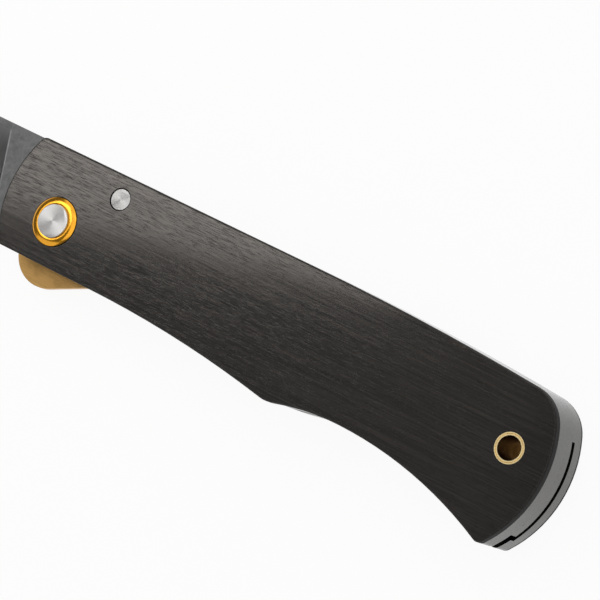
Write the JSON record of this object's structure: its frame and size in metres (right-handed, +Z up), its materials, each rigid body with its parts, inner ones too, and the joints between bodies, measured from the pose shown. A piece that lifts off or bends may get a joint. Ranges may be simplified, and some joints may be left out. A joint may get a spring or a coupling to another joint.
{
  "type": "folding pocket knife",
  "caption": "Slim folding pocket knife: hollow-ground blade on a ringed pivot, dark wood grips on metal slabs, a spring leaf lock with a thumb lobe and a lanyard tube in the butt.",
  "frame": {"origin": "axis of the lanyard tube where it meets the far grip plate's outer face", "axes": "+X from the blade's tip to the butt, +Y to the spine, +Z up through the near face; the knife is open and lies on its far side"},
  "size_m": [0.1932, 0.0286, 0.0146],
  "materials": {
    "ebony": "oiled",
    "blasted_slab": "bead blasted",
    "blade_steel": "stonewashed flats, satin grind",
    "leaf_brass": "matte",
    "polished_gold": "polished",
    "turned_steel": "lathe turned",
    "tube_brass": "satin",
    "bronze": "satin",
    "screw_steel": "machined",
    "ball_steel": "polished"
  },
  "bodies": {
    "handle": {"front_scale": "ebony", "rear_scale": "ebony", "front_frame_plate": "blasted_slab", "rear_frame_plate": "blasted_slab", "back_spacer": "blasted_slab", "front_pivot_ring": "polished_gold", "rear_pivot_ring": "polished_gold", "pivot_barrel": "turned_steel", "pivot_screw": "turned_steel", "stop_pin": "turned_steel", "lanyard_tube": "tube_brass", "front_washer": "bronze", "rear_washer": "bronze", "pivot_bushing": "bronze", "frame_screws": "screw_steel", "frame_dowels": "screw_steel", "front_scale_screws": "screw_steel", "rear_scale_screws": "screw_steel", "lock_leaf_screws": "screw_steel"},
    "blade": {"blade": "blade_steel"},
    "lock": {"lock_leaf": "leaf_brass", "detent_ball": "ball_steel"}
  },
  "joints": [
    {"name": "blade_fold", "type": "hinge", "parent": "handle", "child": "blade", "pos_m": [-0.0958, 0, 0.0069], "axis": [0, 0, 1], "range_deg": [0, 180]},
    {"name": "lock_release", "type": "hinge", "parent": "handle", "child": "lock", "pos_m": [-0.0103, -0.0035, 0.00517], "axis": [0, -1, 0], "range_deg": [-0.6, 0], "stiffness_Nm_per_rad": 8, "springref_deg": -0.9, "deforming": ["lock_leaf"]}
  ]
}
